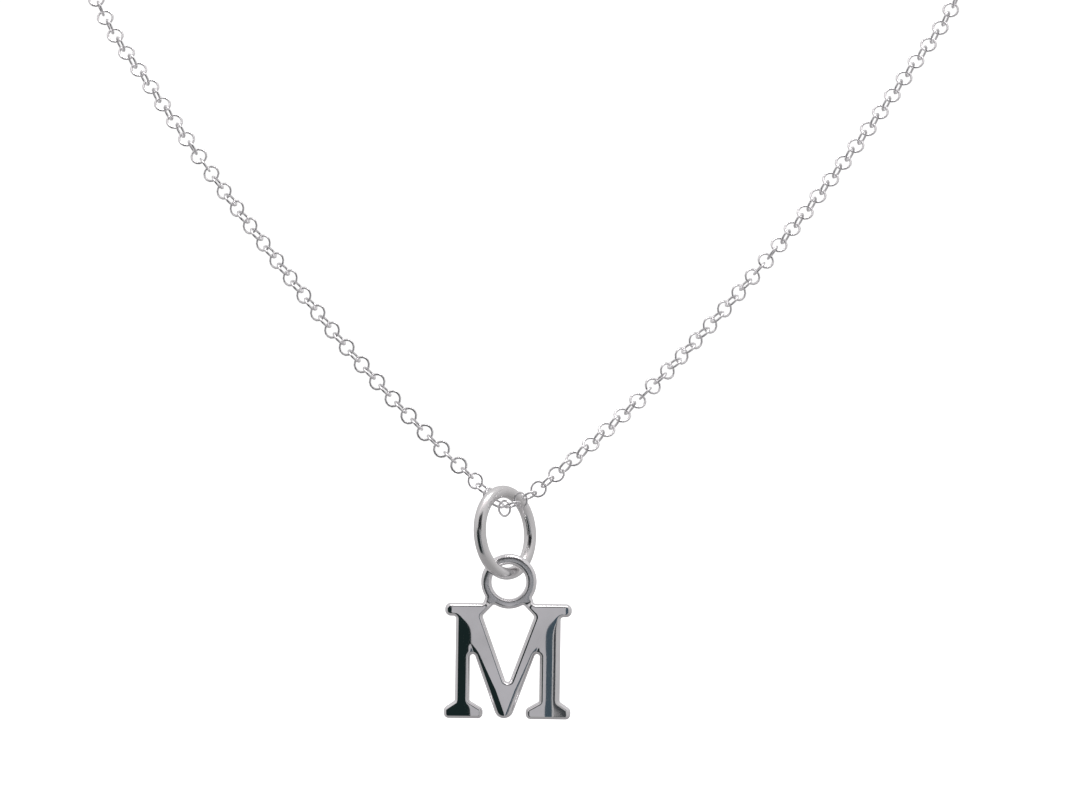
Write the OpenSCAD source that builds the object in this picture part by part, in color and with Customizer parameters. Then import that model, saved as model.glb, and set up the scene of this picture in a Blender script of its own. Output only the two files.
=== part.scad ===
// Initial pendant: a small polished silver letter on a jump ring, on a fine round-link chain.
// Millimetres, +Z up, the front faces -Y, and the origin is where the nape carries the necklace.

/* [Letter] */
// Height of the capital, from its feet to its flat top
letter_h = 10; // [8.5:0.1:12]
// Distance over the outer sides of the two uprights
stems_w = 9.08; // [8.4:0.01:10.5]
// Thickness from front to back
letter_t = 1.3; // [1:0.05:1.8]
// Width of the thin left upright
thin_stem_w = 1.28; // [1.1:0.01:1.4]
// Width of the thick right upright
thick_stem_w = 1.8; // [1.5:0.01:2]
// Width of the thick left diagonal, along the level
thick_diagonal_w = 1.88; // [1.6:0.01:2]
// Width of the thin right diagonal, along the level
thin_diagonal_w = 1.33; // [1.1:0.01:1.4]
// Width of the middle opening at the letter's flat top
opening_w = 5.28; // [4.8:0.01:5.8]
// Height of the fork where the two diagonals part
fork_h = 2.8; // [2.5:0.1:3.1]
// How far the fork lies right of the letter's middle line
fork_x = 0; // [0:0.01:0.1]
// Radius of the round tip where the diagonals meet
tip_r = 0.85; // [0.75:0.01:0.95]
// Thickness of the serifs at the top
serif_t = 1.15; // [1:0.01:1.3]
// How far serifs and feet reach past the outer sides of the uprights
serif_reach = 0.95; // [0.8:0.01:1.2]
// How far the feet reach past the inner sides of the uprights
foot_reach = 1.15; // [0.9:0.01:1.2]
// Height of the feet's ends
foot_end = 0.9; // [0.89:0.01:1]
// Radius of the feet's round ends
foot_r = 0.44; // [0.4:0.01:0.44]
// Height of the level where a foot has swept into its upright
foot_rise = 1.55; // [1.4:0.01:1.7]
// Radius of the soft inner corners
corner_r = 0.22; // [0.15:0.01:0.25]
// How far the rounding of the edges reaches over the face
edge_r = 0.3; // [0.2:0.01:0.31]

/* [Loop on the letter] */
// Inner diameter of the flat ring on top of the letter
loop_in_d = 2.98; // [2.6:0.01:3.4]
// Width of the ring's band, seen from the front
loop_band = 0.92; // [0.85:0.01:1]
// Thickness of the ring from front to back
loop_t = 0.95; // [0.9:0.01:1]
// How far the ring dips below the letter's flat top
loop_sink = 0.53; // [0.45:0.01:0.6]
// How far from the middle the legs' outer sides meet the flat top
leg_foot_x = 2.19; // [2.1:0.01:2.4]
// How far below the flat top the legs' inner sides run into the diagonals
leg_drop = 1.1; // [1:0.01:1.3]
// Height of the plate between the ring's hole and the middle opening
plate_h = 0.86; // [0.8:0.01:1]

/* [Jump ring] */
// Inner diameter of the jump ring
ring_in_d = 6; // [5.6:0.1:7]
// Diameter of its round wire
ring_wire = 1.1; // [0.9:0.05:1.1]
// How far the ring is turned away from facing the front, in degrees
ring_turn = 53; // [45:1:65]
// How far its top leans to the left, in degrees
ring_lean = 5.5; // [0:0.5:6]
// Clearance between the ring and the chain that carries it
ring_clear = 0.13; // [0.1:0.01:0.2]
// Clearance between the ring and the letter's loop
loop_clear = 0.23; // [0.2:0.01:0.3]
// How far the letter leans clockwise, in degrees
letter_lean = 0.8; // [0:0.1:2]

/* [Chain] */
// Outer diameter of one round link
link_d = 1.54; // [1.5:0.01:1.6]
// Diameter of the link's wire
link_wire = 0.19; // [0.16:0.01:0.2]
// Play between two links that hang in each other
link_play = 0.13; // [0.13:0.01:0.16]
// Number of real links on each side of the lowest one
arm_links = 57; // [40:1:90]
// How much closer each of the links next to the jump ring sits
bend_slack = 0.03; // [0.02:0.01:0.05]

/* [Clasp] */
// Outer diameter of the clasp's ring
clasp_d = 5.5; // [5:0.1:7]
// Diameter of the clasp's wire
clasp_wire = 0.9; // [0.8:0.05:0.9]
// Inner diameter of the small eye fixed to the clasp
eye_in_d = 1.2; // [1.1:0.05:1.6]
// Diameter of the eye's wire
eye_wire = 0.6; // [0.5:0.05:0.7]

/* [Hidden] */

silver = [0.78, 0.78, 0.80];
bright_silver = [0.86, 0.86, 0.88];

// Clasp: the ring hangs to the right of the origin, and the eye is fused on its left
clasp_r = (clasp_d - clasp_wire) / 2;
eye_r = (eye_in_d + eye_wire) / 2;
eye_overlap = 0.3;
clasp_y = clasp_wire / 2;
eye_x = -(clasp_wire + eye_wire) / 2 - eye_r + eye_overlap;
hook_play = 0.1;
link_r = (link_d - link_wire) / 2;
link_hole_r = link_r - link_wire / 2;
// Centres of the last link on each side, pulled tight against the clasp
left_end = [eye_x - eye_in_d / 2 + link_wire + hook_play - link_hole_r - link_wire, clasp_y, 0];
right_end = [clasp_r + clasp_r - clasp_wire / 2 - hook_play + link_hole_r, clasp_y, 0];

// Route of the chain: points chosen by hand from the left of the clasp, down the left side
// of the neck to the lowest point, and up the right side
LEFT_ROUTE = [
    [-12, 0, -0.4], [-24, -4, -1.6], [-36, -12, -4], [-45.5, -24, -8], [-52, -40, -14],
    [-54.5, -56, -22], [-53, -71, -33.5], [-49, -83, -46], [-43.5, -92, -58.5],
    [-37.2, -99, -74.1], [-32, -102.5, -82.1], [-26, -106, -90.5], [-19.2, -109.5, -99.3],
    [-14.6, -111.5, -104.9], [-9.9, -112.9, -110.1], [-5.9, -113.7, -114.2],
    [-3.2, -114, -116.7], [-1.35, -115.2, -118.6]];
LOW = [-0.4, -116, -119.3];
RIGHT_ROUTE = [
    [0.55, -116.8, -118.8], [2.4, -117.9, -117.7], [5.6, -117.4, -115], [8.1, -116, -112.8],
    [12.4, -113.2, -108.8], [16.9, -110, -104.1], [20.5, -108, -100.1], [25, -105, -94.8],
    [28.8, -102.6, -90], [32.5, -100.4, -85.1], [36, -98.2, -80.2], [40.5, -95.5, -73.5],
    [45.5, -91, -61], [50, -83, -48], [53.5, -71, -34.5], [54.5, -56, -22.5],
    [52, -40, -14], [45.5, -24, -8], [36, -12, -4], [25, -4, -1.6], [14, 0, -0.4]];
ROUTE = concat([left_end], LEFT_ROUTE, [LOW], RIGHT_ROUTE, [right_end]);
low_index = len(LEFT_ROUTE) + 1;

// Twist of the chain: distance along the route from its lowest point, and angle in degrees
TWIST = [[-60, 45], [-46, 45], [-38, 90], [2, 90], [8, 45], [14, 45], [22, 90], [30, 90],
    [38, 45], [60, 45]];

// Smooth curve through the route, with its length so far at every step
CURVE_STEPS = 12;
function smooth(a, b, c, d, t) = 0.5 * (2 * b + (c - a) * t
    + (2 * a - 5 * b + 4 * c - d) * t * t + (3 * b - a - 3 * c + d) * t * t * t);
last = len(ROUTE) - 1;
function route_point(i) = i < 0 ? 2 * ROUTE[0] - ROUTE[1]
    : i > last ? 2 * ROUTE[last] - ROUTE[last - 1] : ROUTE[i];
CURVE = concat([for (i = [0 : last - 1], k = [0 : CURVE_STEPS - 1])
    smooth(route_point(i - 1), ROUTE[i], ROUTE[i + 1], route_point(i + 2), k / CURVE_STEPS)],
    [ROUTE[last]]);
LENGTHS = [for (i = 0, s = 0; i < len(CURVE);
    s = s + (i + 1 < len(CURVE) ? norm(CURVE[i + 1] - CURVE[i]) : 0), i = i + 1) s];
X_AT = [for (i = [0 : len(CURVE) - 1]) [LENGTHS[i], CURVE[i].x]];
Y_AT = [for (i = [0 : len(CURVE) - 1]) [LENGTHS[i], CURVE[i].y]];
Z_AT = [for (i = [0 : len(CURVE) - 1]) [LENGTHS[i], CURVE[i].z]];
function along(s) = [lookup(s, X_AT), lookup(s, Y_AT), lookup(s, Z_AT)];
left_len = LENGTHS[low_index * CURVE_STEPS];
whole_len = LENGTHS[len(LENGTHS) - 1];
right_len = whole_len - left_len;

// Links: the same whole number of steps on each side, a little closer under the jump ring
pitch = link_d - 2 * link_wire - link_play;
bend_links = 6;
left_links = round(left_len / pitch);
right_links = round(right_len / pitch);
left_step = (left_len + bend_links * bend_slack) / left_links;
right_step = (right_len + bend_links * bend_slack) / right_links;
function link_s(i) = i * (i < 0 ? left_step : right_step)
    - sign(i) * min(abs(i), bend_links) * bend_slack;
function link_at(i) = along(left_len + link_s(i));

// Tube of the hidden stretch: from the last real link to the clasp, on both sides
tube_d = link_d;
tube_sides = 8;
tube_rings = 39;
tube_gap = 0.15;
tube_probe = 0.2;
left_tube_end = tube_gap + max(0, (left_end.x - (eye_x - eye_r - eye_wire / 2)));
right_tube_end = tube_gap + max(0, (2 * clasp_r + clasp_wire / 2 - right_end.x));
left_tube_from = left_len + link_s(-arm_links) - link_d / 2 - tube_gap;
right_tube_from = left_len + link_s(arm_links) + link_d / 2 + tube_gap;

// Jump ring: its wire passes over the chain's lowest link
ring_r = (ring_in_d + ring_wire) / 2;
ring_seat = (link_d + ring_wire) / 2 + ring_clear;
ring_shift = 0.05;
ring_center = LOW + [ring_shift, 0, ring_seat - ring_r];
ring_low = ring_center + ring_r * [sin(ring_lean), 0, -cos(ring_lean)];

// Letter: its own origin is the middle of its foot line, and its loop hangs on the ring
loop_r_in = loop_in_d / 2;
loop_r_out = loop_r_in + loop_band;
loop_z = letter_h + loop_r_out - loop_sink;
plate_r = loop_r_in + plate_h;
hang_z = loop_z + loop_r_in - ring_wire / 2 - loop_clear;
half_w = stems_w / 2;
left_in = -half_w + thin_stem_w;
right_in = half_w - thick_stem_w;

// Inner edges of the diagonals run from the fork to the flat top, outer edges beside them
open_h = letter_h - fork_h;
left_slope = (opening_w / 2 + fork_x) / open_h;
right_slope = (opening_w / 2 - fork_x) / open_h;
function left_edge(z) = fork_x - left_slope * (z - fork_h) - thick_diagonal_w;
function right_edge(z) = fork_x + right_slope * (z - fork_h) + thin_diagonal_w;
// The outer edges would meet in this point, which is rounded to the tip
apex_z = fork_h - (thick_diagonal_w + thin_diagonal_w) / (left_slope + right_slope);
// Heights where the outer edges run into the uprights
left_joint_z = fork_h + (fork_x - thick_diagonal_w - left_in) / left_slope;
right_joint_z = fork_h + (right_in - fork_x - thin_diagonal_w) / right_slope;
// Where the legs' inner sides run into the inner edges
leg_end_z = letter_h - leg_drop;
left_leg_x = left_edge(leg_end_z) + thick_diagonal_w;
right_leg_x = right_edge(leg_end_z) - thin_diagonal_w;
// Angles below level at which the legs' outer sides leave the ring and their inner sides the plate
LEG_OUT = 33;
LEG_IN = 57;
// Free ends of the serifs, rounded but for a short flat
serif_x = half_w + serif_reach;
serif_z = letter_h - serif_t;
serif_r = 0.45 * serif_t;

// Steps, in degrees, of the ring's arcs, of half a rounded corner and of the soft edge
RING_STEP = 15;
CORNER_STEP = 50;
EDGE_STEP = 30;

// A point on a circle round the ring's middle, as a corner with its own radius
function on_ring(r, angle, corner) = [r * cos(angle), loop_z + r * sin(angle), corner];
// Sharp points of a circle's arc, both ends left out
function arc_inside(r, from, to) = let (n = round(abs(to - from) / RING_STEP))
    [for (k = [1 : n - 1]) on_ring(r, from + (to - from) * k / n, 0)];

// Outline as corners [x, height, radius]: from the ring's top down the letter's left side,
// round the tip, and up its right side
RING_LEFT = concat([on_ring(loop_r_out, 90, 0)], arc_inside(loop_r_out, 90, 180 + LEG_OUT));
LEG_LEFT = [on_ring(loop_r_out, 180 + LEG_OUT, corner_r), [-leg_foot_x, letter_h, corner_r]];
BODY_LEFT = [
    [-serif_x, letter_h, serif_r], [-serif_x, serif_z, serif_r], [-half_w, serif_z, corner_r],
    [-half_w, foot_rise, corner_r], [-serif_x, foot_end, foot_r], [-serif_x, 0, foot_r],
    [left_in + foot_reach, 0, foot_r], [left_in + foot_reach, foot_end, foot_r],
    [left_in, foot_rise, corner_r], [left_in, left_joint_z, corner_r]];
TIP = [left_edge(apex_z), apex_z, tip_r];
BODY_RIGHT = [
    [right_in, right_joint_z, corner_r], [right_in, foot_rise, corner_r],
    [right_in - foot_reach, foot_end, foot_r], [right_in - foot_reach, 0, foot_r],
    [serif_x, 0, foot_r], [serif_x, foot_end, foot_r], [half_w, foot_rise, corner_r],
    [half_w, serif_z, corner_r], [serif_x, serif_z, serif_r], [serif_x, letter_h, serif_r]];
LEG_RIGHT = [[leg_foot_x, letter_h, corner_r], on_ring(loop_r_out, -LEG_OUT, corner_r)];
RING_RIGHT = arc_inside(loop_r_out, -LEG_OUT, 90);
// The middle opening, from its fork up the left side, under the plate and down the right side
FORK = [fork_x, fork_h, corner_r];
OPENING_LEFT = concat([[left_leg_x, leg_end_z, corner_r], on_ring(plate_r, 180 + LEG_IN, corner_r)],
    arc_inside(plate_r, 180 + LEG_IN, 270));
OPENING_RIGHT = concat(arc_inside(plate_r, 270, 360 - LEG_IN),
    [on_ring(plate_r, -LEG_IN, corner_r), [right_leg_x, leg_end_z, corner_r]]);
OUTER_CORNERS = concat(RING_LEFT, LEG_LEFT, BODY_LEFT, [TIP], BODY_RIGHT, LEG_RIGHT, RING_RIGHT);
OPENING_CORNERS = concat([FORK], OPENING_LEFT, [on_ring(plate_r, 270, 0)], OPENING_RIGHT);

// The arc that rounds corner i between its neighbours, or its point where the radius is zero
function flat(p) = [p.x, p.y];
function unit(v) = v / norm(v);
function rounded(corners, i) = let (n = len(corners), b = flat(corners[i]), r = corners[i][2])
    r == 0 ? [b] :
    let (u = unit(flat(corners[(i + n - 1) % n]) - b), v = unit(flat(corners[(i + 1) % n]) - b),
        half = acos(u * v) / 2, turn = 180 - 2 * half, middle = b + unit(u + v) * r / sin(half),
        from = b + u * r / tan(half) - middle, to = b + v * r / tan(half) - middle,
        steps = 2 * ceil(turn / CORNER_STEP))
    [for (k = [0 : steps])
        middle + (sin(turn * (1 - k / steps)) * from + sin(turn * k / steps) * to) / sin(turn)];
function outline(corners) = [for (i = [0 : len(corners) - 1]) each rounded(corners, i)];
// Which point of the outline is the middle of corner i
function middle_of(corners, i) = (len(rounded(corners, i)) - 1) / 2
    + len([for (k = [0 : i - 1]) each rounded(corners, k)]);

OUTER = outline(OUTER_CORNERS);
neck_l = middle_of(OUTER_CORNERS, len(RING_LEFT));
leg_l = middle_of(OUTER_CORNERS, len(RING_LEFT) + 1);
leg_r = middle_of(OUTER_CORNERS, len(OUTER_CORNERS) - len(RING_RIGHT) - 2);
neck_r = middle_of(OUTER_CORNERS, len(OUTER_CORNERS) - len(RING_RIGHT) - 1);
OPENING = outline(OPENING_CORNERS);
in_leg_l = middle_of(OPENING_CORNERS, 1);
in_neck_l = middle_of(OPENING_CORNERS, 2);
in_top = middle_of(OPENING_CORNERS, len(OPENING_LEFT) + 1);
in_neck_r = middle_of(OPENING_CORNERS, len(OPENING_CORNERS) - 2);
in_leg_r = middle_of(OPENING_CORNERS, len(OPENING_CORNERS) - 1);
HOLE = [for (angle = [270 : -RING_STEP : -90 + RING_STEP]) flat(on_ring(loop_r_in, angle, 0))];
hole_top = 180 / RING_STEP;

// Thickness at each point: the letter's, the ring's, and in between along the legs
function between(list, i, leg, neck) = lookup(list[i].y,
    [[list[leg].y, letter_t], [list[neck].y, loop_t]]);
OUTER_T = [for (i = [0 : len(OUTER) - 1]) i >= leg_l && i <= leg_r ? letter_t
    : i <= neck_l || i >= neck_r ? loop_t : between(OUTER, i, leg_l, neck_l)];
OPENING_T = [for (i = [0 : len(OPENING) - 1]) i <= in_leg_l || i >= in_leg_r ? letter_t
    : i >= in_neck_l && i <= in_neck_r ? loop_t : between(OPENING, i, in_leg_l, in_neck_l)];

// Where each point of an outline moves for each millimetre that the edge goes inwards
function leftward(v) = [-v.y, v.x];
function inward(list) = let (n = len(list)) [for (i = [0 : n - 1])
    let (u = leftward(unit(list[i] - list[(i + n - 1) % n])),
        v = leftward(unit(list[(i + 1) % n] - list[i]))) (u + v) / (1 + u * v)];

// The letter with its ring: soft edges carried along the three outlines, and on each face the
// two halves of the ring, the two legs and the body, which meet at the outlines' corners
module letter_solid() {
    POINTS = concat(OUTER, OPENING, HOLE);
    INWARD = concat(inward(OUTER), inward(OPENING), inward(HOLE));
    HALF_T = concat(OUTER_T, OPENING_T, [for (p = HOLE) loop_t]) / 2;
    n = len(POINTS);
    o = len(OUTER);
    m = o + len(OPENING);
    RINGS = [for (a = [-90 : EDGE_STEP : 90], i = [0 : n - 1])
        let (p = POINTS[i] + INWARD[i] * edge_r * (1 - cos(a))) [p.x, HALF_T[i] * sin(a), p.y]];
    function after(i) = i == o - 1 ? 0 : i == m - 1 ? o : i == n - 1 ? m : i + 1;
    function run(from, to) = [for (i = [from : to]) i];
    PATCHES = [
        concat(run(0, neck_l), run(o + in_neck_l, o + in_top), run(m, m + hole_top)),
        concat(run(neck_r, o - 1), [0], run(m + hole_top, n - 1), [m], run(o + in_top, o + in_neck_r)),
        concat(run(neck_l, leg_l), run(o + in_leg_l, o + in_neck_l)),
        concat(run(leg_r, neck_r), run(o + in_neck_r, o + in_leg_r)),
        concat(run(leg_l, leg_r), run(o + in_leg_r, m - 1), run(o, o + in_leg_l))];
    back = n * 180 / EDGE_STEP;
    sides = [for (k = [0 : n : back - n], i = [0 : n - 1])
        [k + i, k + after(i), k + n + after(i), k + n + i]];
    faces = [for (patch = PATCHES) each
        [[for (j = [len(patch) - 1 : -1 : 0]) patch[j]], [for (j = patch) back + j]]];
    polyhedron(points = RINGS, faces = concat(sides, faces), convexity = 8);
}

module letter() {
    color(silver) translate(ring_low) rotate([0, letter_lean, 0]) translate([0, 0, -hang_z])
        letter_solid();
}

module jump_ring() {
    color(silver) translate(ring_center) rotate([0, -ring_lean, 0]) rotate([90, 0, ring_turn])
        rotate_extrude($fn = 96) translate([ring_r, 0]) circle(d = ring_wire, $fn = 32);
}

// One link in the plane of its own chain direction, turned about that direction
module link(i) {
    step = link_at(i + 1) - link_at(i - 1);
    s = link_s(i);
    translate(link_at(i))
        rotate([0, -atan2(step.z, norm([step.x, step.y])), atan2(step.y, step.x)])
            rotate([lookup(s, TWIST) + 90 * i, 0, 0])
                rotate_extrude($fn = 32) translate([link_r, 0]) circle(d = link_wire, $fn = 16);
}

module front_chain() {
    color(bright_silver) for (i = [-arm_links : arm_links]) link(i);
}

// A tube swept along the route between two distances, its rings square to the route
module route_tube(from, to) {
    n = tube_sides;
    RINGS = [for (k = [0 : tube_rings])
        let (s = from + (to - from) * k / tube_rings, ahead = along(s + tube_probe) - along(s - tube_probe),
            t = ahead / norm(ahead), flat = cross([0, 0, 1], t), u = flat / norm(flat), v = cross(t, u))
        for (j = [0 : n - 1])
            along(s) + tube_d / 2 * (cos(360 * j / n) * u + sin(360 * j / n) * v)];
    sides = [for (k = [0 : tube_rings - 1], j = [0 : n - 1])
        [(k + 1) * n + j, (k + 1) * n + (j + 1) % n, k * n + (j + 1) % n, k * n + j]];
    ends = [[for (j = [0 : n - 1]) j], [for (j = [0 : n - 1]) tube_rings * n + n - 1 - j]];
    polyhedron(points = RINGS, faces = concat(sides, ends), convexity = 6);
}

module back_chain() {
    color(bright_silver) {
        route_tube(left_tube_end, left_tube_from);
        route_tube(right_tube_from, whole_len - right_tube_end);
    }
}

module clasp() {
    color(silver) union() {
        translate([clasp_r, clasp_y, 0]) rotate([90, 0, 0])
            rotate_extrude($fn = 64) translate([clasp_r, 0]) circle(d = clasp_wire, $fn = 32);
        translate([eye_x, clasp_y, 0]) rotate([90, 0, 0])
            rotate_extrude($fn = 48) translate([eye_r, 0]) circle(d = eye_wire, $fn = 32);
    }
}

letter();
jump_ring();
front_chain();
back_chain();
clasp();
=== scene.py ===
# %% [markdown]
# An initial pendant on a fine chain: a small silver capital with a ring on its head, a round
# jump ring that carries it, and a necklace of round links that closes with a ring clasp at the
# nape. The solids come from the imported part, in metres, +Z up and the front facing -Y. This
# lesson gives each of them a fine surface and a polished silver finish.

import math

import bpy
import numpy as np
from mathutils.geometry import delaunay_2d_cdt
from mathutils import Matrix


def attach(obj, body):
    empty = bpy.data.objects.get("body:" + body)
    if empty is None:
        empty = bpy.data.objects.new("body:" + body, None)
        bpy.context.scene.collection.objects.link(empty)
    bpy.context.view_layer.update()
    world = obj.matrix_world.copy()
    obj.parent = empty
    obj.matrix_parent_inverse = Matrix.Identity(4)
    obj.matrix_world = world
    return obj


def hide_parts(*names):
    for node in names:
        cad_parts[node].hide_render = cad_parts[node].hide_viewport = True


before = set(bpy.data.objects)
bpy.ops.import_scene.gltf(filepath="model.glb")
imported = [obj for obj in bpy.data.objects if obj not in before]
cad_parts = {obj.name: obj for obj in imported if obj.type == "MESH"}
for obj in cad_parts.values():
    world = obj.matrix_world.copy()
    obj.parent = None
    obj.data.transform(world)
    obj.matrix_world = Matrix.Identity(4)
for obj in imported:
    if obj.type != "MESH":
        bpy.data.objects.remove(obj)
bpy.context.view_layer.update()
MM = 0.001

# %% [markdown]
# The photograph looks at the pendant level and straight on, from so far that the letter shows
# no perspective. A long lens 400 mm from the letter gives that flat look, and the frame is
# 93.5 mm wide there, so that the letter is as large in it as in the photograph.

# %% Camera
VIEW_MM = 400.0
FRAME_MM = 93.5
VIEW_X, VIEW_Z, LETTER_Y = 2.67, -110.35, -116.0
SENSOR_MM, NEAREST_M, FARTHEST_M = 36.0, 0.01, 5.0

camera_data = bpy.data.cameras.new("photo_camera")
camera_data.sensor_width = SENSOR_MM
camera_data.lens = SENSOR_MM * VIEW_MM / FRAME_MM
camera_data.clip_start, camera_data.clip_end = NEAREST_M, FARTHEST_M
camera = bpy.data.objects.new("photo_camera", camera_data)
camera.location = (VIEW_X * MM, (LETTER_Y - VIEW_MM) * MM, VIEW_Z * MM)
camera.rotation_euler = (math.radians(90), 0, 0)
bpy.context.collection.objects.link(camera)
bpy.context.scene.camera = camera
print(f"lens {camera_data.lens:.1f} mm")

# %% [markdown]
# Every piece here is worked out as one array of points and then closed into faces. A ring bent
# from wire, a link and the clasp are all the same surface: a circle of wire carried round a
# larger circle. So one helper makes the mesh, one makes a torus and one turns it.

# %% Mesh helpers
def put_mesh(name, points_mm, faces, body):
    """A mesh object at the origin from points in millimetres and faces as index rows."""
    mesh = bpy.data.meshes.new(name)
    mesh.from_pydata((np.asarray(points_mm) * MM).tolist(), [], [list(f) for f in faces])
    mesh.validate()
    mesh.polygons.foreach_set("use_smooth", np.ones(len(mesh.polygons), bool))
    mesh.update()
    piece = bpy.data.objects.new(name, mesh)
    bpy.context.collection.objects.link(piece)
    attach(piece, body)
    print(f"{name}: {len(mesh.vertices)} points, {len(mesh.polygons)} faces")
    return piece


def ring_faces(around, across):
    """Quads of a closed grid of points: around the ring by across its wire, both wrapped."""
    i, j = np.meshgrid(np.arange(around), np.arange(across), indexing="ij")
    ii, jj = (i + 1) % around, (j + 1) % across
    quads = np.stack([i * across + j, ii * across + j, ii * across + jj, i * across + jj], -1)
    return quads.reshape(-1, 4)


def wire_ring(radius, wire_radius, around, across):
    """Torus in the XY plane: point = ((R + w cos b) cos a, (R + w cos b) sin a, w sin b)."""
    a = np.linspace(0, 2 * np.pi, around, endpoint=False)[:, None]
    b = np.linspace(0, 2 * np.pi, across, endpoint=False)[None, :]
    reach = radius + wire_radius * np.cos(b)
    return np.stack([reach * np.cos(a), reach * np.sin(a), wire_radius * np.sin(b) + 0 * a], -1)


def turn(axis, degrees):
    """Rotation matrix by the right-hand rule about the x, y or z axis."""
    c, s = math.cos(math.radians(degrees)), math.sin(math.radians(degrees))
    i, j = {"x": (1, 2), "y": (2, 0), "z": (0, 1)}[axis]
    m = np.eye(3)
    m[i, i] = m[j, j] = c
    m[i, j], m[j, i] = -s, s
    return m


# %% [markdown]
# Polished silver is a mirror, so its look is the room's look. What tells it from a computer's
# mirror is small: a haze of hairline scratches, a faint warm or grey bloom of tarnish where
# fingers and cloth don't reach, and a surface that is never quite flat after hand polishing.
# Three node groups hold these effects, and each metal takes them with its own strengths.

# %% Node group helpers
def new_group(name, inputs, outputs):
    """An empty shader group with named float inputs, given with values, and named outputs."""
    group = bpy.data.node_groups.new(name, "ShaderNodeTree")
    for label, value in inputs.items():
        socket = group.interface.new_socket(label, in_out="INPUT", socket_type="NodeSocketFloat")
        socket.default_value = value
    for label, kind in outputs.items():
        group.interface.new_socket(label, in_out="OUTPUT", socket_type=kind)
    return group, group.nodes.new("NodeGroupInput"), group.nodes.new("NodeGroupOutput")


def add(tree, kind, links=None, **values):
    """A node with some properties set, and its sockets linked or given numbers."""
    node = tree.nodes.new(kind)
    for key, value in values.items():
        setattr(node, key, value)
    for socket, value in (links or {}).items():
        if isinstance(value, bpy.types.NodeSocket):
            tree.links.new(value, node.inputs[socket])
        else:
            node.inputs[socket].default_value = value
    return node


# %% [markdown]
# Every wipe with a cloth leaves fine scratches, which show as a haze of short lines. A picture
# of scratches would have to be laid over each piece. Noise that is stretched along one axis
# gives lines anywhere without that, and three directions of it cross as real scratches do.

# %% Hairline scratches
SCRATCH_ANGLES, TILT_X, TILT_Z = (12.0, 71.0, -38.0), 0.2, 0.3
STRETCH = (1.0, 1.0, 0.06)


def hairline_group():
    """Scratches: bands of stretched noise in three directions, as a height and a mask."""
    group, inp, out = new_group("hairline_scratches", {"Scale": 900.0, "Amount": 0.5},
                                {"Height": "NodeSocketFloat", "Mask": "NodeSocketFloat"})
    place = add(group, "ShaderNodeTexCoord").outputs["Object"]
    total = None
    for k, angle in enumerate(SCRATCH_ANGLES):
        turned = add(group, "ShaderNodeMapping", {"Vector": place})
        turned.inputs["Rotation"].default_value = (TILT_X * k, math.radians(angle), TILT_Z * k)
        turned.inputs["Scale"].default_value = STRETCH
        noise = add(group, "ShaderNodeTexNoise", {"Vector": turned.outputs["Vector"],
                    "Scale": inp.outputs["Scale"], "Detail": 3.0, "Roughness": 0.6})
        line = add(group, "ShaderNodeMapRange", {"Value": noise.outputs["Fac"], "From Min": 0.60,
                   "From Max": 0.74, "To Min": 0.0, "To Max": 1.0})
        value = line.outputs["Result"]
        if total is not None:
            value = add(group, "ShaderNodeMath", {0: total, 1: value},
                        operation="MAXIMUM").outputs[0]
        total = value
    mask = add(group, "ShaderNodeMath", {0: total, 1: inp.outputs["Amount"]}, operation="MULTIPLY")
    depth = add(group, "ShaderNodeMath", {0: 1.0, 1: mask.outputs[0]}, operation="SUBTRACT")
    group.links.new(depth.outputs[0], out.inputs["Height"])
    group.links.new(mask.outputs[0], out.inputs["Mask"])
    return group


HAIRLINES = hairline_group()
print("group:", HAIRLINES.name)

# %% [markdown]
# Silver tarnishes in soft clouds, and where it does it is a little darker and rougher. The
# clouds could be painted, but a cloudy noise in the piece's own space needs no painting and
# has no seam.

# %% Bloom of tarnish
def bloom_group():
    """Tarnish: slow cloudy noise with finer detail in it, as a soft mask from 0 to 1."""
    group, inp, out = new_group("tarnish_bloom", {"Scale": 160.0, "Cover": 0.5},
                                {"Mask": "NodeSocketFloat"})
    place = add(group, "ShaderNodeTexCoord").outputs["Object"]
    cloud = add(group, "ShaderNodeTexNoise", {"Vector": place, "Scale": inp.outputs["Scale"],
                "Detail": 5.0, "Roughness": 0.55})
    low = add(group, "ShaderNodeMath", {0: 0.75, 1: inp.outputs["Cover"]}, operation="SUBTRACT")
    spread = add(group, "ShaderNodeMapRange", {"Value": cloud.outputs["Fac"],
                 "From Min": low.outputs[0], "From Max": 0.8, "To Min": 0.0, "To Max": 1.0})
    group.links.new(spread.outputs["Result"], out.inputs["Mask"])
    return group


BLOOM = bloom_group()
print("group:", BLOOM.name)

# %% [markdown]
# A surface polished by hand is never quite flat, and its slow waves bend what it mirrors. They
# are only microns high, so a bump is enough. Points in the mesh that close together would make
# it heavy, and no outline would show them.

# %% Hand-polished waves
def wave_group():
    """Polish waves: a slow, smooth noise that lifts and sinks the surface a few microns."""
    group, inp, out = new_group("polish_waves", {"Scale": 300.0}, {"Height": "NodeSocketFloat"})
    place = add(group, "ShaderNodeTexCoord").outputs["Object"]
    slow = add(group, "ShaderNodeTexNoise", {"Vector": place, "Scale": inp.outputs["Scale"],
               "Detail": 1.0, "Roughness": 0.4})
    group.links.new(slow.outputs["Fac"], out.inputs["Height"])
    return group


WAVES = wave_group()
print("group:", WAVES.name)

# %% [markdown]
# One function makes the four silvers from these groups. In the photograph the loop on the
# letter's head has less contrast than the letter, as a satin finish would have, but that is a
# guess. A second material would need a seam, so the roughness rises with the height instead,
# over the 0.6 mm where the loop meets the letter. The jump ring and the chain are rougher than
# the letter, which softens what they mirror.

# %% Silver
BLOOM_SCALE, BLOOM_COVER = 220.0, 0.35
SCRATCH_STRENGTH, SCRATCH_DEPTH = 0.3, 0.0008


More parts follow.
